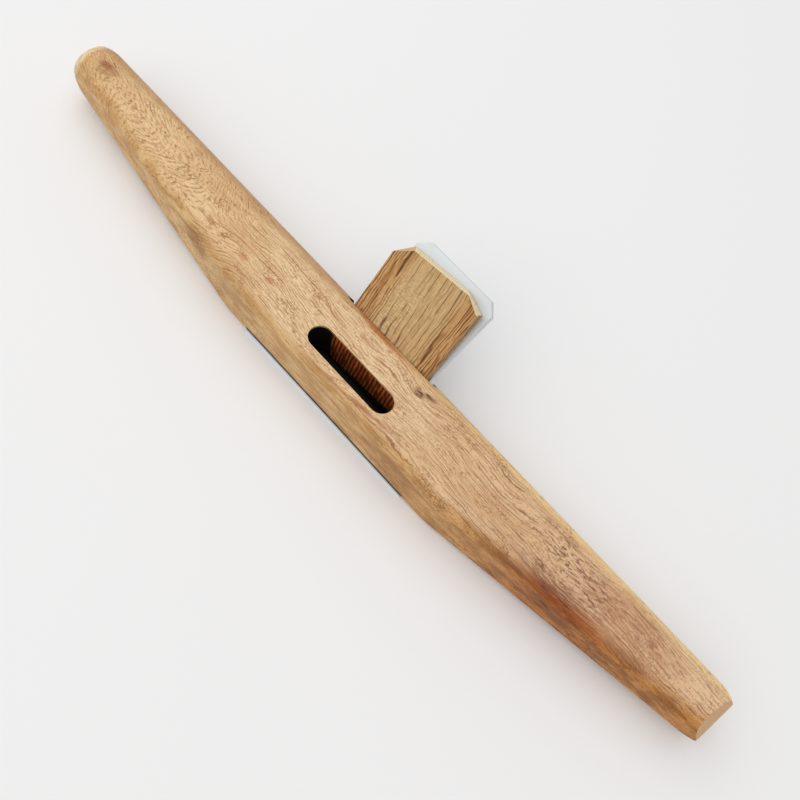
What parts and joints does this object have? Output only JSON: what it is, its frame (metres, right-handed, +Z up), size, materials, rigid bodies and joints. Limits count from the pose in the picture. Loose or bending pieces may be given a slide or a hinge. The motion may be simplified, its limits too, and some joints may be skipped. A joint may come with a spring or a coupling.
{
  "type": "wooden spokeshave",
  "caption": "Wooden spokeshave with tapered handles in one piece with the stock, a wedged iron leaving through the back, a chip slot in the top and a metal sole plate.",
  "frame": {"origin": "on the sole plane, under the middle of the tool's box: midway along the handles, and midway from the front face to the iron's tail", "axes": "+X along the handles, -Y to the front of the tool, +Y to the iron's tail, +Z up from the sole"},
  "size_m": [0.28, 0.0529, 0.0356],
  "materials": {
    "stock_wood": "smooth oiled light tan hardwood with short dark pores",
    "wedge_wood": "sawn and planed brown hardwood with dark streaks along its length",
    "tool_steel": "satin ground tool steel",
    "plate_metal": "satin rolled plate",
    "screw_metal": "plain steel"
  },
  "bodies": {
    "stock": {"body": "stock_wood", "sole_plate": "plate_metal", "sole_screw_front_left": "screw_metal", "sole_screw_front_right": "screw_metal", "sole_screw_back_left": "screw_metal", "sole_screw_back_right": "screw_metal"},
    "blade": {"blade": "tool_steel"},
    "wedge": {"wedge": "wedge_wood"}
  },
  "joints": [
    {"name": "blade_slide", "type": "slide", "parent": "stock", "child": "blade", "axis": [0, 0.7986, 0.6018], "range_m": [-0.001, 0.02]},
    {"name": "wedge_slide", "type": "slide", "parent": "stock", "child": "wedge", "axis": [0, 0.7986, 0.6018], "range_m": [0, 0.02]}
  ]
}
